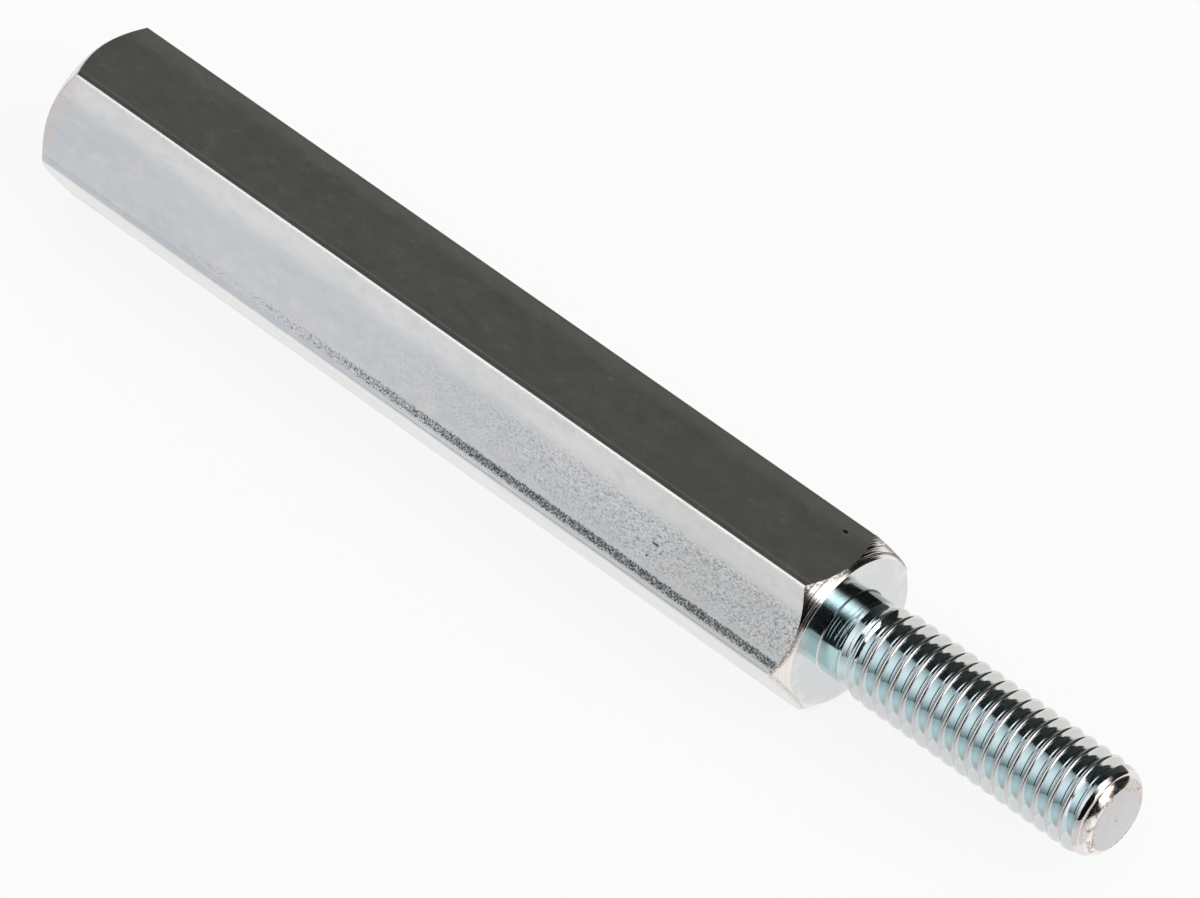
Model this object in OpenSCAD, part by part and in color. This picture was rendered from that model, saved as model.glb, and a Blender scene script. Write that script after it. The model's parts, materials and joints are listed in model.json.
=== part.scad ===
// Hexagonal male-female standoff, turned in one piece from drawn hexagon bar.
// The axis runs along X. The origin is the centre of the shoulder face that the stud leaves,
// so the stud points to +X and the hexagon body runs back to -X with a flat on top and below.
// The threads are left plain: the stud is drawn at its crest diameter over the threaded length
// and at the rolling blank's diameter over the neck, and the hole at its tapping diameter.

/* [Hexagon body] */
// Width across the flats of the bar
hex_af = 10; // [8:0.1:20]
// Length of the body between its two end faces
body_l = 60; // [25:0.5:120]
// Radius along the six long corners of the bar
corner_r = 0.15; // [0.05:0.05:0.4]
// Diameter of the flat face that the bevel leaves on each end
end_face_d = 9.5; // [7.5:0.1:9.8]
// Angle of the turned bevel from the end face
bevel_angle = 45; // [30:1:60]

/* [Stud] */
// Length of the stud from the shoulder to its tip
stud_l = 20.2; // [8:0.1:40]
// Diameter of the stud over its thread crests
stud_d = 5.94; // [5.6:0.01:7]
// Diameter of the plain neck, the blank on which the thread is rolled
neck_d = 5.35; // [4.6:0.01:5.55]
// Length of the plain neck next to the shoulder
neck_l = 0.6; // [0.3:0.1:4]
// Length over which the first threads rise from the neck to their full height
runout_l = 2.6; // [0.3:0.1:3.5]
// Radius in the corner between the neck and the shoulder
neck_fillet_r = 0.2; // [0.05:0.05:0.25]

/* [Stud tip] */
// Diameter of the flat on the end of the stud
tip_flat_d = 3.92; // [2:0.02:4]
// Radius between that flat and the lead-in
tip_round_r = 0.65; // [0.3:0.05:1.1]
// Angle of the lead-in from the axis
lead_angle = 25; // [15:1:40]

/* [Tapped hole] */
// Tapping diameter of the blind hole in the far end
hole_d = 5; // [4:0.05:5.3]
// Depth of the hole at its full diameter, from the end face
hole_depth = 15; // [6:0.5:20]
// Angle of the drill point at the bottom of the hole
drill_point_angle = 118; // [90:1:140]
// Mouth diameter of the countersink
sink_d = 6.4; // [5.6:0.1:7.2]
// Full angle of the countersink
sink_angle = 90; // [60:5:120]

/* [Hidden] */
round_fn = 96;
corner_fn = 48;
// distance from the axis to the sharp corner of the hexagon
hex_corner = hex_af / sqrt(3);
// distance from the axis to the centre of each corner radius
corner_c = hex_corner - corner_r / cos(30);
// how far the bevel's cone is drawn past the corners of the bar
bevel_past = hex_corner - end_face_d / 2 + 1;
bevel_rise = bevel_past * tan(bevel_angle);
// centre of the tip radius: its distance along the stud, and from the axis
tip_c_l = stud_l - tip_round_r;
tip_c_r = tip_flat_d / 2;
// where the lead-in meets the tip radius, and where it reaches the thread crests
lead_end_r = tip_c_r + tip_round_r * cos(lead_angle);
lead_end_l = tip_c_l + tip_round_r * sin(lead_angle);
lead_start_l = lead_end_l - (stud_d / 2 - lead_end_r) / tan(lead_angle);
thread_start_l = neck_l + runout_l;
// distance from the axis to where the fillet runs out into the shoulder face
root_r = neck_d / 2 + neck_fillet_r;
// depths of the countersink and of the drill point
sink_depth = (sink_d - hole_d) / 2 / tan(sink_angle / 2);
point_depth = hole_d / 2 / tan(drill_point_angle / 2);
// how far cutters are drawn past the face they start from, and the stud into the body
cut_past = 1;
stud_root = 1;

// section of the bar, corners rounded, with a flat on either side along X
module bar_section() {
    polygon([for (k = [0:5], side = [-1, 1])
        corner_c * [cos(60 * k + 30), sin(60 * k + 30)]
        + corner_r * [cos(60 * k + 30 + side * 30), sin(60 * k + 30 + side * 30)]]);
    for (k = [0:5])
        rotate(60 * k + 30) translate([corner_c, 0]) circle(r = corner_r, $fn = corner_fn);
}

// half section of the turned envelope that bevels both ends of the bar
module bevel_envelope() {
    polygon([
        [0, -body_l], [end_face_d / 2, -body_l],
        [end_face_d / 2 + bevel_past, bevel_rise - body_l],
        [end_face_d / 2 + bevel_past, -bevel_rise],
        [end_face_d / 2, 0], [0, 0]]);
}

// half section of the stud, from inside the body to its rounded tip
module stud_profile() {
    polygon([
        [0, -stud_root], [root_r, -stud_root], [root_r, 0], [neck_d / 2, 0],
        [neck_d / 2, neck_l],
        [stud_d / 2, thread_start_l], [stud_d / 2, lead_start_l],
        [lead_end_r, lead_end_l], [tip_c_r, tip_c_l], [tip_c_r, stud_l], [0, stud_l]]);
    // fillet at the shoulder
    difference() {
        translate([neck_d / 2, 0]) square([neck_fillet_r, neck_fillet_r]);
        translate([root_r, neck_fillet_r]) circle(r = neck_fillet_r, $fn = corner_fn);
    }
    // rounding of the tip
    intersection() {
        translate([tip_c_r, tip_c_l]) circle(r = tip_round_r, $fn = round_fn);
        translate([0, tip_c_l - tip_round_r]) square([tip_c_r + tip_round_r, 2 * tip_round_r]);
    }
}

// half section of the drilled and countersunk hole, mouth at length 0, floor towards +
module hole_profile() {
    polygon([
        [0, -cut_past], [sink_d / 2 + cut_past * tan(sink_angle / 2), -cut_past],
        [hole_d / 2, sink_depth], [hole_d / 2, hole_depth],
        [0, hole_depth + point_depth]]);
}

module standoff() {
    color("silver") rotate([0, 90, 0]) difference() {
        union() {
            intersection() {
                translate([0, 0, -body_l]) linear_extrude(height = body_l) bar_section();
                rotate_extrude($fn = round_fn) bevel_envelope();
            }
            rotate_extrude($fn = round_fn) stud_profile();
        }
        translate([0, 0, -body_l]) rotate_extrude($fn = round_fn) hole_profile();
    }
}

standoff();
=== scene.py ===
"""Dressed model of a zinc plated hexagon standoff, its studio and its camera."""
import json
import math
import bpy
from mathutils import Matrix, Vector


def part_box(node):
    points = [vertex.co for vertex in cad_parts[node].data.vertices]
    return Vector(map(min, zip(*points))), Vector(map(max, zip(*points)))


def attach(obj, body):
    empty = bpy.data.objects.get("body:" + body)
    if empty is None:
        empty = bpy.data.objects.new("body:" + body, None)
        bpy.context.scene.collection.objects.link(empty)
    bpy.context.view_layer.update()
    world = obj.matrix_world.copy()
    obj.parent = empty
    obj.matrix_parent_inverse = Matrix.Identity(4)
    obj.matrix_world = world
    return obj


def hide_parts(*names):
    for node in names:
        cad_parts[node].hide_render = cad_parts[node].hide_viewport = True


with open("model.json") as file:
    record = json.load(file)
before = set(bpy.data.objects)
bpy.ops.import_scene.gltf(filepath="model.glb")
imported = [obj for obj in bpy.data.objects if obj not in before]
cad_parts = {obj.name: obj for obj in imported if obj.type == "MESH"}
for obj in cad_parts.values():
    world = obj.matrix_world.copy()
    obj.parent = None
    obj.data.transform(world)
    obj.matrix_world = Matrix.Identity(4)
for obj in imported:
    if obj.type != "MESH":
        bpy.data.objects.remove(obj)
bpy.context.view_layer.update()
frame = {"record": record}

# ---- sizes in metres, the main ones from the frame ----
MM = 0.001
NODE = "standoff"
low_corner, high_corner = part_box(NODE)
mounts = {m["name"]: m for m in frame["record"]["mounts"]}
body_l = -low_corner.x
stud_l = high_corner.x
across_flats = high_corner.z - low_corner.z
crest_r = mounts["stud_thread"]["dims"]["r_mm"] * MM
hole_r = mounts["female_thread"]["dims"]["r_mm"] * MM
hole_thread_l = mounts["female_thread"]["dims"]["length_mm"] * MM

# a length below which two places count as one
TOUCH = 1e-7

# the metric coarse thread, and how far the stud's is turned about X
PITCH = 1.0 * MM
THREAD_PHASE = math.radians(-110)
FLANK = math.radians(30)
ROOT_ROUND_R = 0.144 * MM
CREST_ROUND_R = 0.13 * MM
CREST_FLAT_L = 0.02 * MM
# the flank is straight between the crest's rounding and the root's
FLANK_L = PITCH / 2 - CREST_FLAT_L / 2 - (CREST_ROUND_R + ROOT_ROUND_R) * math.cos(FLANK)
ROOT_DEPTH = (CREST_ROUND_R + ROOT_ROUND_R) * (1 - math.sin(FLANK)) + FLANK_L / math.tan(FLANK)

# the bar: widths beside each long corner, and how far the corner falls inwards over each;
# the flat face on each end, and the rounding of its rim
CORNER_FALLS = [(0.75 * MM, 0.008 * MM), (0.32 * MM, 0.013 * MM)]
CORNER_ROUND_L = 0.10 * MM
FACE_R = 4.75 * MM
RIM_ROUND_R = 0.05 * MM

# the stud: its neck, the radius at its foot, the run-out of the grooves, and where it is cut off
# to be drawn down to the shoulder
NECK_R = 2.675 * MM
FILLET_R = 0.09 * MM
GROOVE_START_L = 1.25 * MM
GROOVE_RUNOUT_L = 1.72 * MM
GROOVE_RUNOUT_BEND = 1.25
ROOT_CUT = 0.4 * MM

# the tip: its face, its rounding between two slopes, the mark of the lathe's centre, and how far
# back it has the finish of a cut
TIP_EDGE_R = 2.05 * MM
TIP_ROUND_R = 1.6 * MM
TIP_START = math.radians(40)
TIP_END = math.radians(62)
TIP_EDGE_BREAK = 0.008 * MM
CENTRE_MARK_R = 0.16 * MM
TIP_CUT_L = 0.29 * MM

# in mm back from the tip and out from the axis: the last rolled ring behind the rounding, which
# the crests meet at a slope, and the end of the grooves
LAST_RING = [(0.82, 2.80), (0.74, 2.77), (0.66, 2.733), (0.59, 2.692), (0.54, 2.655), (0.51, 2.62),
             (0.495, 2.585), (0.48, 2.56), (0.455, 2.548), (0.41, 2.54)]
LAST_RING_FALL = math.radians(12)
GROOVE_END = [(0.86, 2.2), (0.82, 2.60), (0.77, 2.90), (-0.3, 2.90)]

# the tapped hole
SINK_R = 3.2 * MM
HOLE_L = 15.0 * MM
DRILL_POINT = math.radians(118)
TAP_CREST_R = 3.02 * MM
TAP_ROOT_R = 2.44 * MM
TAP_RUNOUT_L = 1.5 * MM

# faces round the bar and the stud's blank, a turn of the thread, and the hole
TURN_STEPS = 192
THREAD_STEPS = 96
HOLE_STEPS = 72


# ---- small helpers around the edit-mode tools ----
def only(obj):
    """Makes obj the active object and the only one selected."""
    bpy.ops.object.select_all(action="DESELECT")
    bpy.context.view_layer.objects.active = obj
    obj.select_set(True)


def begin_edit(obj):
    """Opens obj for editing, with nothing in it selected."""
    only(obj)
    bpy.ops.object.mode_set(mode="EDIT")
    bpy.ops.mesh.select_mode(type="VERT")
    bpy.ops.mesh.select_all(action="DESELECT")


def end_edit():
    bpy.ops.object.mode_set(mode="OBJECT")


def pick(obj, kind, test):
    """Selects the vertices, edges or faces that pass the test, and nothing else."""
    bpy.ops.mesh.select_all(action="DESELECT")
    bpy.ops.mesh.select_mode(type=kind)
    bpy.ops.object.mode_set(mode="OBJECT")
    mesh = obj.data
    items = {"VERT": mesh.vertices, "EDGE": mesh.edges, "FACE": mesh.polygons}[kind]
    for item in items:
        if test(item):
            item.select = True
    bpy.ops.object.mode_set(mode="EDIT")


def apply_modifier(obj, kind, **settings):
    """Adds one modifier with its settings and applies it."""
    only(obj)
    modifier = obj.modifiers.new(kind.title(), kind)
    for name, value in settings.items():
        setattr(modifier, name, value)
    bpy.ops.object.modifier_apply(modifier=modifier.name)


def carve(obj, operation, tool):
    """Cuts, joins or keeps what a tool covers, and throws the tool away."""
    apply_modifier(obj, "BOOLEAN", operation=operation, object=tool, solver="EXACT")
    mesh = tool.data
    bpy.data.objects.remove(tool)
    bpy.data.meshes.remove(mesh)


def place(obj):
    """Puts the object's place and turn into its mesh, which leaves it at the origin."""
    only(obj)
    bpy.ops.object.transform_apply(location=True, rotation=True, scale=True)


def drawn_line(name, points):
    """A new object, left open for editing, that is one line of edges through the points."""
    bpy.ops.mesh.primitive_plane_add(size=MM, location=(0, 0, 0))
    obj = bpy.context.object
    obj.name = name
    begin_edit(obj)
    bpy.ops.mesh.select_all(action="SELECT")
    bpy.ops.mesh.merge(type="COLLAPSE")
    points = [Vector(point) for point in points]
    bpy.ops.transform.translate(value=points[0])
    for here, there in zip(points, points[1:]):
        bpy.ops.mesh.extrude_region_move(TRANSFORM_OT_translate={"value": there - here})
    bpy.ops.mesh.select_all(action="SELECT")
    return obj


def turned(name, outline, steps):
    """A closed solid turned about X from the points (along the axis, from the axis)."""
    obj = drawn_line(name, [(along, 0, out) for along, out in outline])
    bpy.ops.mesh.spin(steps=steps, angle=2 * math.pi, center=(0, 0, 0), axis=(1, 0, 0))
    bpy.ops.mesh.select_all(action="SELECT")
    bpy.ops.mesh.remove_doubles(threshold=TOUCH)
    bpy.ops.mesh.normals_make_consistent(inside=False)
    end_edit()
    return obj


# ---- the hexagon bar ----
def pick_corners(bar):
    """Selects the six long corners of the bar, and returns how far they are from the axis."""
    end_edit()
    spots = [vertex.co.copy() for vertex in bar.data.vertices]
    rim = max(math.hypot(spot.y, spot.z) for spot in spots)
    bpy.ops.object.mode_set(mode="EDIT")

    def runs_along_corner(edge):
        ends = [spots[i] for i in edge.vertices]
        return (abs(ends[0].x - ends[1].x) > body_l / 2
                and all(math.hypot(end.y, end.z) > rim - 10 * TOUCH for end in ends))

    pick(bar, "EDGE", runs_along_corner)
    return rim


def hexagon_bar():
    """Drawn bar: six flats that fall away a little beside each rolled corner."""
    bpy.ops.mesh.primitive_cylinder_add(
        vertices=6, radius=across_flats / math.sqrt(3), depth=body_l,
        location=(-body_l / 2, 0, 0), rotation=(0, math.pi / 2, 0))
    bar = bpy.context.object
    bar.name = "hexagon_standoff"
    place(bar)
    begin_edit(bar)
    for width, fall in CORNER_FALLS:
        pick_corners(bar)
        bpy.ops.mesh.bevel(offset=width, segments=2, profile=1.0, affect="EDGES")
        inward = 1 - fall / pick_corners(bar)
        bpy.ops.transform.resize(value=(1, inward, inward), center_override=(0, 0, 0))
    pick_corners(bar)
    bpy.ops.mesh.bevel(offset=CORNER_ROUND_L, segments=6, profile=0.5, affect="EDGES")
    end_edit()
    return bar


def bevel_ends(bar):
    """Turns the 45 degree bevel on both ends of the bar, with a rounding where it meets the face."""
    past = 1.5 * MM
    rim = []
    for degrees in (0, 15, 30, 45):
        turn = math.radians(degrees)
        rim.append((RIM_ROUND_R * (1 - math.cos(turn)),
                    FACE_R - RIM_ROUND_R * (math.tan(math.pi / 8) - math.sin(turn))))
    outline = [(-body_l, 0)] + [(-body_l + along, out) for along, out in rim]
    outline += [(-body_l + past, FACE_R + past), (-past, FACE_R + past)]
    outline += [(-along, out) for along, out in reversed(rim)] + [(0, 0)]
    carve(bar, "INTERSECT", turned("bevel_tool", outline, TURN_STEPS))


# ---- the thread ----
def external_profile():
    """One pitch of the rolled thread, from crest to crest: points (along, from the axis)."""
    root = crest_r - ROOT_DEPTH
    half = [(0, crest_r)]
    for degrees in range(0, 61, 12):
        turn = math.radians(degrees)
        half.append((CREST_FLAT_L / 2 + CREST_ROUND_R * math.sin(turn),
                     crest_r - CREST_ROUND_R * (1 - math.cos(turn))))
    arc_centre = root + ROOT_ROUND_R
    for degrees in (60, 45, 30, 15, 0):
        turn = math.radians(degrees)
        half.append((PITCH / 2 - ROOT_ROUND_R * math.sin(turn),
                     arc_centre - ROOT_ROUND_R * math.cos(turn)))
    back = [(PITCH - a, r) for a, r in reversed(half[:-1])]
    return half + back


def threaded_rod(name, profile, turns, steps, start):
    """The surface of a right-hand thread that climbs along Z from start, one profile to a turn."""
    rod = drawn_line(name, [(out, 0, along + start) for along, out in profile])
    end_edit()
    apply_modifier(rod, "SCREW", axis="Z", angle=2 * math.pi, screw_offset=PITCH, iterations=turns,
                   steps=steps, render_steps=steps, use_smooth_shade=True)
    begin_edit(rod)
    bpy.ops.mesh.select_all(action="SELECT")
    bpy.ops.mesh.remove_doubles(threshold=TOUCH)
    end_edit()
    return rod


def fade(rod, radius, weight):
    """Draws the thread's surface towards a plain cylinder by the weight at each height."""
    group = rod.vertex_groups.new(name="fade")
    for vertex in rod.data.vertices:
        share = min(max(weight(vertex.co.z), 0.0), 1.0)
        if share > 0:
            group.add([vertex.index], share, "REPLACE")
    apply_modifier(rod, "CAST", cast_type="CYLINDER", factor=1.0, size=radius, radius=0.0,
                   use_radius_as_size=False, use_z=False, vertex_group="fade")
    rod.vertex_groups.clear()


def square_off(rod, first, last):
    """Cuts the rod off square at two heights and closes both ends."""
    begin_edit(rod)
    for height, up in ((first, -1), (last, 1)):
        bpy.ops.mesh.select_all(action="SELECT")
        bpy.ops.mesh.bisect(plane_co=(0, 0, height), plane_no=(0, 0, up), use_fill=True,
                            clear_outer=True, threshold=1e-9)
    bpy.ops.mesh.select_all(action="SELECT")
    bpy.ops.mesh.normals_make_consistent(inside=False)
    end_edit()


def lay_along_x(rod, phase):
    """Turns a rod that was made along Z so that it lies along X."""
    rod.matrix_world = Matrix.Rotation(math.pi / 2, 4, "Y") @ Matrix.Rotation(phase, 4, "Z")
    place(rod)


def stud_outline():
    """Outline of the blank: clear of the crests, then the last ring, the rounding and the face."""
    ring = [(stud_l - back * MM, out * MM) for back, out in LAST_RING]
    clear = crest_r + 0.1 * MM
    level = ring[0][0] - (clear - ring[0][1]) / math.tan(LAST_RING_FALL)
    past = -2 * MM
    points = [(past, 0), (past, clear), (level, clear)] + ring
    middle = (stud_l - TIP_ROUND_R * math.sin(TIP_END), TIP_EDGE_R - TIP_ROUND_R * math.cos(TIP_END))
    for k in range(12):
        turn = TIP_START + (TIP_END - TIP_START) * k / 12
        points.append((middle[0] + TIP_ROUND_R * math.sin(turn),
                       middle[1] + TIP_ROUND_R * math.cos(turn)))
    points += [(stud_l - TIP_EDGE_BREAK, TIP_EDGE_R - TIP_EDGE_BREAK),
               (stud_l, TIP_EDGE_R - 0.03 * MM), (stud_l, CENTRE_MARK_R),
               (stud_l - 0.4 * CENTRE_MARK_R, 0.5 * CENTRE_MARK_R), (stud_l - 0.5 * CENTRE_MARK_R, 0)]
    return points


def tip_core():
    """The blank inside the tip, where the grooves have run out."""
    points = [(stud_l - back * MM, out * MM) for back, out in GROOVE_END]
    start = stud_l - 6 * MM
    return [(start, 0), (start, points[0][1])] + points + [(points[-1][0], 0)]


def groove_fade(height):
    """1 on the plain neck, falling to 0 where the grooves have their full depth."""
    return 1 - max((height - GROOVE_START_L) / GROOVE_RUNOUT_L, 0) ** GROOVE_RUNOUT_BEND


def threaded_stud():
    """The stud, made longer than it is at both ends and then cut by its blank."""
    rod = threaded_rod("stud", external_profile(), turns=23, steps=THREAD_STEPS, start=-1.5 * MM)
    fade(rod, NECK_R, groove_fade)
    square_off(rod, ROOT_CUT, stud_l + 0.8 * MM)
    lay_along_x(rod, THREAD_PHASE)
    carve(rod, "UNION", turned("core_tool", tip_core(), TURN_STEPS))
    carve(rod, "INTERSECT", turned("blank_tool", stud_outline(), TURN_STEPS))
    return rod


def seat_stud(stud):
    """Takes the closed root off the stud and draws it down the neck and out into the shoulder."""
    begin_edit(stud)
    pick(stud, "FACE", lambda face: (face.normal.x < -0.99
                                     and abs(face.center.x - ROOT_CUT) < 10 * TOUCH))
    bpy.ops.mesh.delete(type="FACE")
    pick(stud, "VERT", lambda vertex: abs(vertex.co.x - ROOT_CUT) < TOUCH)
    # a narrow ring next to the radius keeps the neck's shading straight
    ring_l = 0.02 * MM
    for length in (FILLET_R + ring_l - ROOT_CUT, -ring_l):
        bpy.ops.mesh.extrude_region_move(TRANSFORM_OT_translate={"value": (length, 0, 0)})
    radius = NECK_R
    along = FILLET_R
    steps = 6
    for k in range(1, steps + 1):
        turn = math.pi / 2 * k / steps
        new_radius = NECK_R + FILLET_R * (1 - math.cos(turn))
        new_along = FILLET_R * (1 - math.sin(turn))
        bpy.ops.mesh.extrude_region_move(TRANSFORM_OT_translate={"value": (new_along - along, 0, 0)})
        bpy.ops.transform.resize(value=(1, new_radius / radius, new_radius / radius),
                                 center_override=(0, 0, 0))
        radius = new_radius
        along = new_along
    end_edit()


def join_to_body(body, stud):
    """Opens the shoulder face and bridges its rim to the foot of the stud's fillet."""
    begin_edit(body)
    pick(body, "FACE", lambda face: face.normal.x > 0.999 and face.center.x > -10 * TOUCH)
    bpy.ops.mesh.delete(type="FACE")
    end_edit()
    only(body)
    stud.select_set(True)
    bpy.ops.object.join()
    begin_edit(body)
    pick(body, "VERT", lambda vertex: (abs(vertex.co.x) < TOUCH
                                       and math.hypot(vertex.co.y, vertex.co.z) > NECK_R))
    bpy.ops.mesh.bridge_edge_loops()
    bpy.ops.mesh.select_all(action="SELECT")
    bpy.ops.mesh.normals_make_consistent(inside=False)
    end_edit()


# ---- the tapped hole ----
def tap_profile():
    """One pitch of the tap, from root to root: points (along, from the axis)."""
    half_root = 0.13 * PITCH
    half_crest = PITCH / 2 - half_root - (TAP_CREST_R - TAP_ROOT_R) * math.tan(FLANK)
    return [(0, TAP_ROOT_R), (half_root, TAP_ROOT_R),
            (PITCH / 2 - half_crest, TAP_CREST_R), (PITCH / 2 + half_crest, TAP_CREST_R),
            (PITCH - half_root, TAP_ROOT_R), (PITCH, TAP_ROOT_R)]


def tapped_hole(body):
    """Drills, countersinks and taps the hole in the far end."""
    past = 1 * MM
    floor = -body_l + HOLE_L
    drill = turned("drill_tool", [
        (-body_l - past, 0), (-body_l - past, SINK_R + past), (-body_l + SINK_R - hole_r, hole_r),
        (floor, hole_r), (floor + hole_r / math.tan(DRILL_POINT / 2), 0)], HOLE_STEPS)
    carve(body, "DIFFERENCE", drill)
    tap = threaded_rod("tap_tool", tap_profile(), turns=18, steps=HOLE_STEPS, start=-2 * MM)
    fade(tap, TAP_ROOT_R, lambda height: 1 - (hole_thread_l - height) / TAP_RUNOUT_L)
    square_off(tap, -past, hole_thread_l)
    lay_along_x(tap, 0)
    tap.location.x = -body_l
    place(tap)
    carve(body, "DIFFERENCE", tap)


def standoff_solid():
    """The whole standoff as one closed mesh."""
    body = hexagon_bar()
    bevel_ends(body)
    tapped_hole(body)
    stud = threaded_stud()
    seat_stud(stud)
    join_to_body(body, stud)
    only(body)
    bpy.ops.object.shade_smooth_by_angle(angle=math.radians(28))
    return body


# ---- finishes: the materials measure in mm ----
class Finish:
    """A metal finish whose nodes are wired one after another."""

    def __init__(self, name):
        self.material = bpy.data.materials.new(name)
        self.material.use_nodes = True
        self.tree = self.material.node_tree
        self.shader = self.tree.nodes["Principled BSDF"]
        self.shader.inputs["Metallic"].default_value = 1.0
        place_in = self.tree.nodes.new("ShaderNodeTexCoord")
        self.mm = self.vector("SCALE", place_in.outputs["Object"], scale=1 / MM)
        split = self.tree.nodes.new("ShaderNodeSeparateXYZ")
        self.link(self.mm, split.inputs[0])
        self.x, self.y, self.z = split.outputs
        self.out = self.math("SQRT", self.math("ADD", self.math("MULTIPLY", self.y, self.y),
                                               self.math("MULTIPLY", self.z, self.z)))
        # the angle about the axis jumps at the lowest corner of the bar
        self.angle = self.math("ARCTAN2", self.toward(210), self.toward(120))

    def link(self, output, socket):
        self.tree.links.new(output, socket)

    def feed(self, socket, value):
        """Links an output into the socket, or writes a plain value on it."""
        if isinstance(value, bpy.types.NodeSocket):
            self.link(value, socket)
        elif isinstance(value, tuple) and len(value) == 3 and socket.type == "RGBA":
            socket.default_value = (*value, 1)
        else:
            socket.default_value = value

    # numbers and places
    def math(self, operation, *values):
        node = self.tree.nodes.new("ShaderNodeMath")
        node.operation = operation
        for socket, value in zip(node.inputs, values):
            self.feed(socket, value)
        return node.outputs[0]

    def vector(self, operation, *values, scale=None):
        node = self.tree.nodes.new("ShaderNodeVectorMath")
        node.operation = operation
        for socket, value in zip(node.inputs, values):
            self.feed(socket, value)
        if scale is not None:
            self.feed(node.inputs["Scale"], scale)
        return node.outputs[0]

    def product(self, *values):
        total = values[0]
        for value in values[1:]:
            total = self.math("MULTIPLY", total, value)
        return total

    def toward(self, degrees):
        """How far a place is from the axis, measured in one direction around it."""
        turn = math.radians(degrees)
        return self.math("ADD", self.math("MULTIPLY", self.y, math.cos(turn)),
                         self.math("MULTIPLY", self.z, math.sin(turn)))

    def stretched(self, along, across):
        """The place with its axes scaled."""
        return self.vector("MULTIPLY", self.mm, (along, across, across))

    def wound(self, along, out, around):
        """The place as (along the axis, from the axis, angle about it), each one scaled."""
        node = self.tree.nodes.new("ShaderNodeCombineXYZ")
        for socket, value, factor in zip(node.inputs, (self.x, self.out, self.angle),
                                         (along, out, around)):
            self.feed(socket, self.math("MULTIPLY", value, factor))
        return node.outputs[0]

    # patterns and masks
    def noise(self, where, scale=1.0, detail=2.0, rough=0.5):
        node = self.tree.nodes.new("ShaderNodeTexNoise")
        self.link(where, node.inputs["Vector"])
        node.inputs["Scale"].default_value = scale
        node.inputs["Detail"].default_value = detail
        node.inputs["Roughness"].default_value = rough
        return node.outputs["Fac"]

    def spread(self, value, low, high, to_low=0.0, to_high=1.0, smooth=False):
        """Maps low..high to to_low..to_high, held at both ends."""
        node = self.tree.nodes.new("ShaderNodeMapRange")
        node.interpolation_type = "SMOOTHSTEP" if smooth else "LINEAR"
        for socket, number in zip(node.inputs, (value, low, high, to_low, to_high)):
            self.feed(socket, number)
        return node.outputs[0]

    def band(self, value, middle, half, soft):
        """1 within half of the middle, and 0 from soft beyond it."""
        off = self.math("ABSOLUTE", self.math("SUBTRACT", value, middle))
        return self.spread(off, half + soft, half)

    def spot(self, across, at, size):
        """1 inside an oval with soft edges, at (along, across) with half sizes."""
        off = [self.math("DIVIDE", self.math("SUBTRACT", value, place), half)
               for value, place, half in zip((self.x, across), at, size)]
        reach = self.math("SQRT", self.math("ADD", self.math("MULTIPLY", off[0], off[0]),
                                            self.math("MULTIPLY", off[1], off[1])))
        return self.spread(reach, 1.25, 0.75)

    # colour and relief
    def blend(self, share, first, second):
        """Goes from the first colour to the second."""
        node = self.tree.nodes.new("ShaderNodeMix")
        node.data_type = "RGBA"
        # sockets 6, 7 and 2 are the ones for colours
        self.feed(node.inputs[0], share)
        self.feed(node.inputs[6], first)
        self.feed(node.inputs[7], second)
        return node.outputs[2]

    def tint(self, color, target, *shares):
        """Draws the colour towards a target by the product of the shares."""
        return self.blend(self.product(*shares), color, target)

    def shade(self, color, *shares):
        """Makes the colour lighter, or darker where they are negative, by the product of the shares."""
        return self.vector("SCALE", color, scale=self.math("ADD", 1.0, self.product(*shares)))

    def bump(self, height, depth, after=None):
        """Relief of a depth in metres; the bumps may follow one another."""
        node = self.tree.nodes.new("ShaderNodeBump")
        node.inputs["Strength"].default_value = 1.0
        self.feed(node.inputs["Distance"], depth)
        self.link(height, node.inputs["Height"])
        if after is not None:
            self.link(after, node.inputs["Normal"])
        return node.outputs[0]

    def finish(self, color, roughness, normal):
        self.feed(self.shader.inputs["Base Color"], color)
        self.feed(self.shader.inputs["Roughness"], roughness)
        self.link(normal, self.shader.inputs["Normal"])
        return self.material


# which way the flat with the pits and stains faces, in degrees about X from +Y towards +Z
SIDE_FLAT = 150
# how far from the axis, towards a flat, the mask of that flat begins and is full
ON_FLAT = (across_flats / 2 / MM - 0.10, across_flats / 2 / MM - 0.04)
# where the bevel's mask begins and is full
ON_BEVEL = (FACE_R / MM - 0.05, FACE_R / MM + 0.01)


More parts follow.
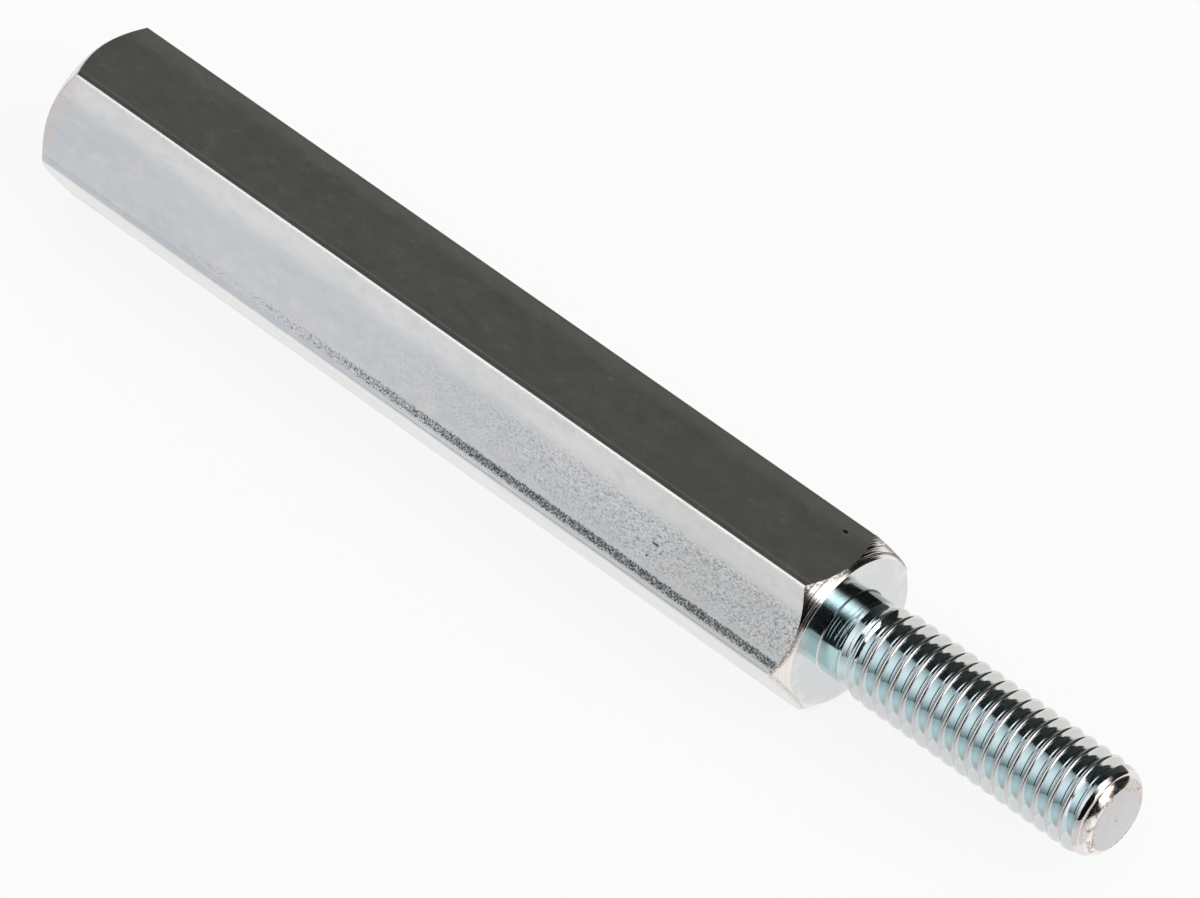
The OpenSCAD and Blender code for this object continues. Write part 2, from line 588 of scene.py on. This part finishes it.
def drawn_zinc():
    """The six flats: drawn bar under a clear zinc plate, two of them with marks, painted highlights and
    painted shade of their own.
    """
    f = Finish("drawn_zinc")
    f.on_top = f.spread(f.z, *ON_FLAT)
    f.on_side = f.spread(f.toward(SIDE_FLAT), *ON_FLAT)
    # across the side flat, from its middle towards its lower edge
    f.across = f.toward(SIDE_FLAT + 90)
    f.cloud = f.noise(f.stretched(0.10, 0.45), detail=3.0, rough=0.55)
    f.mottle = f.noise(f.stretched(0.9, 1.5), detail=5.0, rough=0.62)
    f.grain = f.noise(f.mm, 9.0, detail=3.0, rough=0.65)
    f.dashes = f.noise(f.stretched(5.0, 9.0), detail=4.0, rough=0.7)
    color = zinc_plate(f)
    color = pits(f, color)
    color, stain = edge_stain_and_corner_shade(f, color)
    color = far_end_stain(f, color)
    color = top_painted_reflections(f, color)
    color = edge_highlight_and_brown_edge(f, color)
    color = scratches(f, color)
    roughness = f.spread(f.mottle, 0.3, 0.7, 0.20, 0.28)
    roughness = f.math("ADD", roughness, f.math("MULTIPLY", stain, 0.2))
    drawing_lines = f.noise(f.stretched(0.35, 12.0), rough=0.6)
    normal = f.bump(drawing_lines, 0.0002 * MM)
    normal = f.bump(f.mottle, f.spread(f.on_side, 0.0, 1.0, 0.0016 * MM, 0.003 * MM), normal)
    normal = f.bump(f.grain, 0.0012 * MM, normal)
    return f.finish(color, roughness, normal)


def zinc_plate(f):
    """The plate's own colour: on the side flat paler along its upper edge and bluer below."""
    pale = (0.865, 0.865, 0.87)
    blue = (0.70, 0.725, 0.755)
    plain = (0.80, 0.795, 0.775)
    rosy = (0.82, 0.775, 0.775)
    green = (0.72, 0.765, 0.775)
    lower = f.math("ADD", f.across, f.spread(f.mottle, 0.3, 0.7, -0.4, 0.4))
    color = f.blend(f.spread(lower, -1.95, -0.65, smooth=True), pale, blue)
    color = f.tint(color, plain, f.math("SUBTRACT", 1.0, f.on_side))
    color = f.vector("SCALE", color, scale=f.spread(f.cloud, 0.35, 0.65, 0.965, 1.035))
    hue = f.noise(f.stretched(0.5, 0.9), detail=3.0, rough=0.55)
    color = f.tint(color, rosy, f.spread(hue, 0.54, 0.70, 0.0, 0.6))
    color = f.tint(color, green, f.spread(hue, 0.46, 0.32, 0.0, 0.6))
    return f.vector("SCALE", color, scale=f.spread(f.mottle, 0.3, 0.7, 0.94, 1.06))


def pits(f, color):
    """Pits on the side flat, thicker and greyer towards the stud, and three dark specks."""
    dark = (0.24, 0.26, 0.29)
    speck = (0.10, 0.11, 0.12)
    black = (0.03, 0.03, 0.03)
    warm_grey = (0.945, 0.935, 0.91)
    pitted = f.product(f.on_side, f.band(f.across, middle=0.25, half=1.1, soft=0.6),
                       f.spread(f.x, -36, -6, 0.0, 1.5), f.spread(f.cloud, 0.36, 0.52, 0.45, 1.0))
    color = f.shade(color, pitted, f.spread(f.dashes, 0.4, 0.6, -0.20, 0.10))
    color = f.tint(color, dark, pitted, f.spread(f.dashes, 0.46, 0.32), 0.75)
    for at, size in (((-10.85, 0.26), (0.30, 0.06)), ((-11.1, 1.12), (0.08, 0.07))):
        color = f.tint(color, speck, f.spot(f.across, at, size), f.on_side)
    color = f.tint(color, black, f.spot(f.y, at=(-2.3, 1.83), size=(0.17, 0.10)), f.on_top)
    grey = f.blend(f.product(f.on_side, f.spread(f.x, -32, -8)), (1.0, 1.0, 1.0), warm_grey)
    return f.vector("MULTIPLY", color, grey)


def edge_stain_and_corner_shade(f, color):
    """The grey band by the side flat's lower edge, and painted shade along the corner below it: a dark
    line and a darkening towards the far end; returns the band as well.
    """
    band_grey = (0.075, 0.082, 0.082)
    corner_shade_grey = (0.24, 0.24, 0.24)
    edge = f.product(f.band(f.across, middle=2.17, half=0.20, soft=0.22),
                     f.spread(f.x, -50, -24, 0.20, 1.0))
    stain = f.math("ADD", f.grain, f.math("MULTIPLY", f.math("SUBTRACT", edge, 1.0), 0.36))
    stain = f.product(f.on_side, f.spread(stain, 0.34, 0.56), f.spread(edge, 0.0, 0.2))
    color = f.tint(color, band_grey, stain)
    # painted shade: a dark line along the side flat's lower corner
    color = f.tint(color, corner_shade_grey, f.on_side, f.band(f.across, middle=2.74, half=0.015, soft=0.05),
                   f.spread(f.x, -40, -26, 0.25, 0.75), f.spread(f.grain, 0.3, 0.6, 1.0, 0.55))
    # painted shade: darker next to the lower corner, more so towards the far end
    color = f.shade(color, f.on_side, f.band(f.across, middle=2.62, half=0.12, soft=0.16),
                    f.spread(f.x, -26, -40, 0.0, -0.12))
    return color, stain


def far_end_stain(f, color):
    """A warm stain over the last millimetre of the far end."""
    warm = (0.78, 0.71, 0.66)
    far_end = body_l / MM
    back = f.math("ADD", f.math("MULTIPLY", f.x, -1.0), f.spread(f.mottle, 0.3, 0.7, -0.5, 0.5))
    return f.tint(color, warm, f.spread(back, far_end - 1.4, far_end - 0.6, 0.0, 0.55))


def top_painted_reflections(f, color):
    """The upper flat: painted lighter towards its far edge, with a painted highlight and a painted dark
    line by its near one.
    """
    # painted reflection: the upper flat is lighter towards its far edge
    color = f.shade(color, f.on_top, f.spread(f.y, 1.5, 2.5), 0.35)
    # painted highlight and painted dark line beside the near corner
    color = f.shade(color, f.on_top, f.band(f.y, middle=-2.45, half=0.03, soft=0.08), 0.30)
    return f.shade(color, f.on_top, f.band(f.y, middle=-2.69, half=0.04, soft=0.06), -0.12)


def edge_highlight_and_brown_edge(f, color):
    """A painted highlight along the upper edge of the side flat, and the top's far edge is brown."""
    bright = (1.0, 0.99, 0.985)
    brown = (0.74, 0.68, 0.60)
    highlight_across = f.math("ADD", f.across, f.spread(f.dashes, 0.35, 0.65, -0.09, 0.09))
    # painted highlight: the side flat's upper edge next to the corner is lightened
    color = f.tint(color, bright, f.on_side, f.spread(highlight_across, -2.70, -2.80))
    return f.tint(color, brown, f.on_top, f.spread(f.y, 2.68, 2.76))


def scratches(f, color):
    """Fine light scratches here and there on the upper flat."""
    path = f.noise(f.stretched(0.5, 0.8))
    scratch = f.spread(f.math("ABSOLUTE", f.math("SUBTRACT", path, 0.5)), 0.007, 0.001)
    return f.shade(color, scratch, f.spread(f.mottle, 0.54, 0.62), f.on_top, 0.45)


def turned_zinc():
    """The shoulder, the bevels and the end faces: lathe marks that run round the axis, painted dark on
    the bevel's upper side.
    """
    face = (0.70, 0.715, 0.715)
    bevel = (0.86, 0.835, 0.80)
    rosy = (0.88, 0.83, 0.80)
    brown = (0.20, 0.165, 0.135)
    black = (0.12, 0.10, 0.09)
    f = Finish("turned_zinc")
    marks = f.noise(f.wound(7.0, 7.0, 0.5), detail=4.0, rough=0.65)
    grain = f.noise(f.mm, 6.0, detail=4.0, rough=0.65)
    hue = f.noise(f.mm, 0.9, detail=3.0, rough=0.6)
    on_bevel = f.spread(f.out, *ON_BEVEL)
    color = f.blend(on_bevel, face, bevel)
    blotch = f.math("ADD", hue, f.math("MULTIPLY", grain, 0.4))
    color = f.tint(color, rosy, f.spread(f.out, 3.7, 4.5), f.spread(blotch, 0.66, 0.80), 0.5)
    # brown specks where the bevel meets the flats, with few below; lift is the distance towards a flat
    turn = f.math("WRAP", f.angle, math.radians(60), 0.0)
    turn = f.math("SUBTRACT", turn, math.radians(30))
    lift = f.math("MULTIPLY", f.out, f.math("COSINE", turn))
    color = f.tint(color, brown, f.spread(lift, 4.70, 4.88), f.spread(grain, 0.66, 0.50), on_bevel,
                   f.spread(f.toward(210), 4.75, 4.92, 1.0, 0.15), 0.85)
    # painted reflection: the bevel's real lathe marks are painted black, strongest on its upper side
    # and faint below
    color = f.tint(color, black, on_bevel, f.spread(marks, 0.45, 0.40),
                   f.spread(f.toward(30), -2.2, -3.2, 1.0, 0.15), 0.85)
    roughness = f.spread(marks, 0.3, 0.7, 0.08, 0.14)
    ridges = f.noise(f.wound(6.0, 6.0, 0.4), detail=1.0)
    ridges = f.spread(f.math("ABSOLUTE", f.math("SUBTRACT", ridges, 0.5)), 0.07, 0.0)
    normal = f.bump(marks, f.spread(on_bevel, 0.0, 1.0, 0.002 * MM, 0.010 * MM))
    normal = f.bump(ridges, f.spread(on_bevel, 0.0, 1.0, 0.0, 0.006 * MM), normal)
    normal = f.bump(grain, 0.0016 * MM, normal)
    return f.finish(color, roughness, normal)


def cut_zinc():
    """The stud's tip: a pale grey face, and a rounding painted bright on its -Y side and dimmer
    elsewhere, with warm stains by its edge.
    """
    face = (0.60, 0.59, 0.605)
    face_warm = (0.635, 0.62, 0.62)
    rounding = (0.92, 0.88, 0.85)
    rounding_painted_dim = (0.67, 0.64, 0.63)
    stain = (0.80, 0.68, 0.61)
    fleck = (0.28, 0.21, 0.12)
    f = Finish("cut_zinc")
    grain = f.noise(f.mm, 5.0, detail=5.0, rough=0.65)
    patch = f.noise(f.mm, 1.4, detail=3.0, rough=0.6)
    color = f.blend(f.spread(patch, 0.35, 0.65), face, face_warm)
    edge_r = TIP_EDGE_R / MM
    # painted light: the rounding is bright towards -Y and dimmer towards +Y
    color = f.tint(color, f.blend(f.spread(f.y, -1.6, -0.6), rounding, rounding_painted_dim),
                   f.spread(f.out, edge_r - 0.06, edge_r + 0.02))
    color = f.tint(color, stain, f.spread(f.out, edge_r - 0.39, edge_r - 0.09),
                   f.spread(patch, 0.46, 0.56), 0.75)
    color = f.tint(color, fleck, f.band(f.out, middle=edge_r + 0.09, half=0.16, soft=0.24),
                   f.spread(grain, 0.53, 0.45), f.spread(patch, 0.44, 0.54), 0.85)
    roughness = f.spread(grain, 0.3, 0.7, 0.10, 0.20)
    normal = f.bump(grain, 0.0040 * MM)
    return f.finish(color, roughness, normal)


def rolled_zinc():
    """The rolled thread and its neck: smooth and blue, with painted shading that turns it deeper blue
    and neutral grey round it.
    """
    f = Finish("rolled_zinc")
    f.grain = f.noise(f.stretched(4.0, 4.0), detail=4.0, rough=0.6)
    f.hue = f.noise(f.mm, 0.7)
    # -1 to 1 across the stud, and 0 in the middle of the side that stays blue between the painted greys
    f.aside = f.math("DIVIDE", f.toward(36), f.out)
    color = blue_plate_and_painted_shading(f)
    color = neck_blue_and_painted_shade(f, color)
    crest = f.spread(f.out, crest_r / MM - 0.13, crest_r / MM - 0.05)
    color = crests_and_roots(f, color, crest)
    roughness = f.spread(f.grain, 0.3, 0.7, 0.06, 0.12)
    roughness = f.math("ADD", roughness, f.math("MULTIPLY", crest, 0.08))
    marks = f.noise(f.wound(5.0, 5.0, 1.5), detail=3.0, rough=0.6)
    normal = f.bump(neck_rings(f), f.spread(f.x, 1.45, 1.35, 0.0, 0.0065 * MM))
    normal = f.bump(marks, 0.002 * MM, normal)
    normal = f.bump(f.grain, 0.003 * MM, normal)
    return f.finish(color, roughness, normal)


def blue_plate_and_painted_shading(f):
    """The stud's blue plate with painted shading round it: blue in the middle, deeper blue below, and
    neutral greys on both sides.
    """
    blue = (0.77, 0.885, 0.92)
    blue_pale = (0.80, 0.895, 0.915)
    painted_deep_blue = (0.72, 0.865, 0.89)
    painted_grey_below = (0.66, 0.68, 0.68)
    painted_grey_above = (0.63, 0.64, 0.61)
    color = f.blend(f.spread(f.hue, 0.4, 0.6), blue, blue_pale)
    # painted shading round the stud: deeper blue towards the lower side, grey further down and on the
    # upper side
    color = f.tint(color, painted_deep_blue, f.spread(f.aside, -0.20, -0.55, smooth=True))
    color = f.tint(color, painted_grey_below, f.spread(f.aside, -0.74, -0.93, smooth=True))
    return f.tint(color, painted_grey_above, f.spread(f.aside, 0.58, 0.85, smooth=True))


def neck_blue_and_painted_shade(f, color):
    """The neck is a deeper blue with painted shade on its upper side, and its foot has painted shade
    above and a painted highlight below.
    """
    deep = (0.56, 0.80, 0.84)
    dark = (0.30, 0.36, 0.36)
    foot_painted_shade = (0.10, 0.11, 0.12)
    foot_painted_highlight = (0.78, 0.76, 0.76)
    foot_l = FILLET_R / MM
    color = f.tint(color, deep, f.spread(f.x, 1.7, 0.9))
    # painted shade on the neck's upper side
    color = f.tint(color, dark, f.spread(f.x, 1.6, 1.2), f.spread(f.aside, 0.40, 0.70))
    # painted shade above and painted highlight below on the foot's rounding
    foot = f.blend(f.spread(f.aside, -0.20, -0.42), foot_painted_shade, foot_painted_highlight)
    return f.tint(color, foot, f.spread(f.x, foot_l + 0.02, foot_l - 0.02))


def crests_and_roots(f, color, crest):
    """Rubbed crests, a warm end, and painted shade in the roots."""
    rubbed = (0.77, 0.75, 0.755)
    warm = (0.82, 0.77, 0.75)
    dark = (0.25, 0.27, 0.28)
    tip = stud_l / MM
    root_r = (crest_r - ROOT_DEPTH) / MM
    color = f.tint(color, rubbed, crest)
    color = f.tint(color, warm, f.spread(f.x, tip - 0.85, tip - 0.70))
    # painted shade at the bottom of the roots
    return f.tint(color, dark, f.spread(f.out, root_r + 0.08, root_r + 0.02), 0.4)


def neck_rings(f):
    """Fine rings round the neck, where the thread begins, as a height from 0 to 1."""
    ring_l = 0.27
    rise_l = 0.23
    wobble = f.math("MULTIPLY", f.noise(f.wound(2.5, 0.0, 0.6), detail=1.0), 0.45)
    step = f.math("WRAP", f.math("ADD", f.x, wobble), ring_l, 0.0)
    rings = f.math("SUBTRACT", f.spread(step, 0.0, rise_l), f.spread(step, rise_l, ring_l))
    return f.product(rings, f.spread(f.x, 0.15, 0.3), f.spread(f.aside, -0.42, -0.30),
                     f.spread(f.hue, 0.3, 0.7))


def dress(body):
    """Gives each face of the standoff the finish of the work that made it."""
    finishes = [drawn_zinc, turned_zinc, rolled_zinc, cut_zinc]
    body.data.materials.clear()
    for make in finishes:
        body.data.materials.append(make())
    for face in body.data.polygons:
        out = math.hypot(face.center.y, face.center.z)
        if abs(face.normal.x) < 0.1 and out > FACE_R:
            made_by = drawn_zinc
        elif face.center.x > stud_l - TIP_CUT_L:
            made_by = cut_zinc
        elif face.center.x > TOUCH:
            made_by = rolled_zinc
        else:
            made_by = turned_zinc
        face.material_index = finishes.index(made_by)


# ---- studio ----
# share of the floor's white that comes from the light on it, and so shows the shadow
SHADOW_SHARE = 0.18
# how far the reflected cards are from the stud's foot
CARD_R = 0.8


def empty_material(name):
    material = bpy.data.materials.new(name)
    material.use_nodes = True
    material.node_tree.nodes.clear()
    return material


def seen_directly(tree):
    """1 for rays from the camera, and for rays by way of metal or glass."""
    nodes = tree.nodes
    path = nodes.new("ShaderNodeLightPath")
    total = path.outputs["Is Camera Ray"]
    for name in ("Is Glossy Ray", "Is Transmission Ray"):
        add = nodes.new("ShaderNodeMath")
        add.operation = "ADD"
        add.use_clamp = True
        tree.links.new(total, add.inputs[0])
        tree.links.new(path.outputs[name], add.inputs[1])
        total = add.outputs[0]
    return total


def pale_floor():
    """A floor that lights the standoff as paper does, and looks white with a soft shadow."""
    bpy.ops.mesh.primitive_plane_add(size=6, location=(0, 0, low_corner.z))
    floor = bpy.context.object
    floor.name = "floor"
    material = empty_material("pale_floor")
    tree = material.node_tree
    paper = tree.nodes.new("ShaderNodeBsdfDiffuse")
    paper.inputs["Color"].default_value = (0.9, 0.9, 0.9, 1)
    shaded = tree.nodes.new("ShaderNodeBsdfDiffuse")
    shaded.inputs["Color"].default_value = (SHADOW_SHARE, SHADOW_SHARE, SHADOW_SHARE, 1)
    own_light = tree.nodes.new("ShaderNodeEmission")
    own_light.inputs["Strength"].default_value = 1.0 - SHADOW_SHARE * 0.97
    white = tree.nodes.new("ShaderNodeAddShader")
    tree.links.new(shaded.outputs[0], white.inputs[0])
    tree.links.new(own_light.outputs[0], white.inputs[1])
    mix = tree.nodes.new("ShaderNodeMixShader")
    tree.links.new(seen_directly(tree), mix.inputs[0])
    tree.links.new(paper.outputs[0], mix.inputs[1])
    tree.links.new(white.outputs[0], mix.inputs[2])
    output = tree.nodes.new("ShaderNodeOutputMaterial")
    tree.links.new(mix.outputs[0], output.inputs[0])
    floor.data.materials.append(material)


def turned_sheet(name, points, around):
    """An open sheet turned about X from points (along, from the axis), over two angles in degrees."""
    turn = math.radians(around[0])
    sheet = drawn_line(name, [(along, out * math.cos(turn), out * math.sin(turn))
                              for along, out in points])
    # the spin operator counts its angle the other way round
    sweep = math.radians(around[0] - around[1])
    bpy.ops.mesh.spin(steps=16, angle=sweep, center=(0, 0, 0), axis=(1, 0, 0))
    end_edit()
    return sheet


def glow(sheet, color, around, strength):
    """Lets the sheet shine with a strength that is a function of the angle about X in degrees."""
    material = empty_material(sheet.name)
    tree = material.node_tree
    place_in = tree.nodes.new("ShaderNodeTexCoord")
    level = tree.nodes.new("ShaderNodeVectorRotate")
    level.rotation_type = "X_AXIS"
    level.inputs["Angle"].default_value = -math.radians(sum(around) / 2)
    split = tree.nodes.new("ShaderNodeSeparateXYZ")
    angle = tree.nodes.new("ShaderNodeMath")
    angle.operation = "ARCTAN2"
    share = tree.nodes.new("ShaderNodeMapRange")
    half = math.radians(around[1] - around[0]) / 2
    share.inputs[1].default_value = -half
    share.inputs[2].default_value = half
    ramp = tree.nodes.new("ShaderNodeValToRGB")
    stops = 10
    stop = ramp.color_ramp.elements
    for k in range(1, stops):
        stop.new(k / stops)
    for k in range(stops + 1):
        here = strength(around[0] + (around[1] - around[0]) * k / stops)
        stop[k].color = (*(channel * here for channel in color), 1)
    light = tree.nodes.new("ShaderNodeEmission")
    output = tree.nodes.new("ShaderNodeOutputMaterial")
    tree.links.new(place_in.outputs["Object"], level.inputs["Vector"])
    tree.links.new(level.outputs[0], split.inputs[0])
    tree.links.new(split.outputs["Z"], angle.inputs[0])
    tree.links.new(split.outputs["Y"], angle.inputs[1])
    tree.links.new(angle.outputs[0], share.inputs[0])
    tree.links.new(share.outputs[0], ramp.inputs[0])
    tree.links.new(ramp.outputs[0], light.inputs["Color"])
    tree.links.new(light.outputs[0], output.inputs[0])
    sheet.data.materials.append(material)
    sheet.visible_camera = False
    sheet.visible_diffuse = False
    sheet.visible_shadow = False


def even(degrees):
    """The same light all over."""
    return 1.0


def card(name, color, polar, around, strength=even):
    """A far curved card, with its place in degrees from +X and about the X axis."""
    steps = 12
    leans = [math.radians(polar[0] + (polar[1] - polar[0]) * k / steps) for k in range(steps + 1)]
    points = [(CARD_R * math.cos(lean), CARD_R * math.sin(lean)) for lean in leans]
    glow(turned_sheet(name, points, around), color, around, strength)


def trough(name, color, along, radius, around, strength):
    """A near card that is part of a cylinder about the X axis."""
    glow(turned_sheet(name, [(along[0], radius), (along[1], radius)], around), color, around, strength)


def soft_middle(degrees):
    """A softbox that is brightest in its middle."""
    return math.cos(math.radians((degrees - 133) / 65 * 90)) ** 2


def soft_back(degrees):
    """A softbox that is dimmer where the side flat mirrors it."""
    return 0.80 + 0.22 * max(0.0, min(1.0, (160 - degrees) / 15))


def soft_skirt(degrees):
    """The edge of the lamp's diffuser."""
    return 0.03 + 1.9 * math.cos(math.radians((degrees - 78) / 31 * 90)) ** 2


def behind_stud(degrees):
    """A dark room that is a little lighter towards the floor."""
    return 0.12 + 0.88 * max(0.0, 1 - (degrees - 1) / 68) ** 1.2


def behind_bar(degrees):
    """A dark room that is lighter low down on the far side."""
    return 0.33 + 0.67 * max(0.0, min(1.0, (40 - degrees) / 20))


def floor_shadow_level(degrees):
    """The floor's shadow beside the stud: a grey sheet that is lit less towards its upper edge."""
    return 0.60 + 0.40 * min(1.0, (degrees - 167) / 20)


def studio():
    """Two softboxes, a lamp's skirt and a grey sheet that stands in for the floor's shadow beside the
    stud, with the dark room between them.
    """
    card("softbox_front", (0.98, 1.0, 1.0), (78, 112), (91, 181), soft_middle)
    card("softbox_back", (1.0, 1.0, 1.01), (112, 131), (91, 181), soft_back)
    card("dark_end", (0.05, 0.05, 0.05), (131, 170), (91, 181))
    card("dark_behind_stud", (0.10, 0.115, 0.11), (82, 112), (1, 91), behind_stud)
    card("dark_behind_bar", (0.25, 0.252, 0.23), (112, 155), (5, 91), behind_bar)
    card("dark_camera_side", (0.006, 0.006, 0.006), (16, 77), (109, 186))
    card("dark_along_axis", (0.006, 0.006, 0.006), (1, 16), (109, 262))
    card("dark_far_side", (0.02, 0.02, 0.02), (20, 82), (-1, 47))
    card("lamp_skirt", (1.0, 1.0, 1.0), (48, 82), (47, 109), soft_skirt)
    # painted shadow: this glowing grey sheet beside and below the stud's near side stands in for the
    # floor's shadow that the stud reflects
    trough("floor_shadow_sheet", (0.76, 0.76, 0.755), (0.45 * MM, 26 * MM), 4.9 * MM, (167, 222), floor_shadow_level)


def world_light():
    """White where it is seen, and a little dimmer as a light."""
    world = bpy.data.worlds.new("studio")
    bpy.context.scene.world = world
    world.use_nodes = True
    tree = world.node_tree
    background = tree.nodes["Background"]
    background.inputs["Color"].default_value = (1, 1, 1, 1)
    strength = tree.nodes.new("ShaderNodeMapRange")
    tree.links.new(seen_directly(tree), strength.inputs[0])
    strength.inputs[3].default_value = 0.72
    strength.inputs[4].default_value = 1.0
    tree.links.new(strength.outputs[0], background.inputs["Strength"])


def overhead_lamp():
    """The soft lamp over the stud, placed by its lean from +X and its turn about the X axis."""
    lean = math.radians(29)
    turn = math.radians(77)
    level = 1.35
    data = bpy.data.lights.new("overhead", "AREA")
    data.shape = "RECTANGLE"
    data.size = 0.70
    data.size_y = 0.95
    data.energy = level * math.pi * data.size * data.size_y
    lamp = bpy.data.objects.new("overhead", data)
    back = Vector((math.cos(lean), math.sin(lean) * math.cos(turn), math.sin(lean) * math.sin(turn)))
    lamp.location = back
    lamp.rotation_euler = back.to_track_quat("Z", "X").to_euler()
    bpy.context.scene.collection.objects.link(lamp)


def camera():
    """Looks down on the stud end from 45 degrees, through a long lens."""
    aim = Vector((-0.019708, 0.000264, 0.000193))
    azimuth = math.radians(-47.209)
    elevation = math.radians(45.003)
    distance = 0.66433
    tilt = math.radians(1.901)
    data = bpy.data.cameras.new("camera")
    data.lens = 351.58
    data.sensor_width = 36
    data.clip_end = 20
    cam = bpy.data.objects.new("camera", data)
    bpy.context.scene.collection.objects.link(cam)
    back = Vector((math.cos(elevation) * math.cos(azimuth), math.cos(elevation) * math.sin(azimuth),
                   math.sin(elevation)))
    turn = back.to_track_quat("Z", "Y").to_matrix().to_4x4() @ Matrix.Rotation(tilt, 4, "Z")
    cam.matrix_world = Matrix.Translation(aim + back * distance) @ turn
    bpy.context.scene.camera = cam


standoff = standoff_solid()
dress(standoff)
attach(standoff, "root")
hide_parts(NODE)

pale_floor()
studio()
world_light()
overhead_lamp()
camera()
bpy.context.scene.view_settings.view_transform = "Standard"
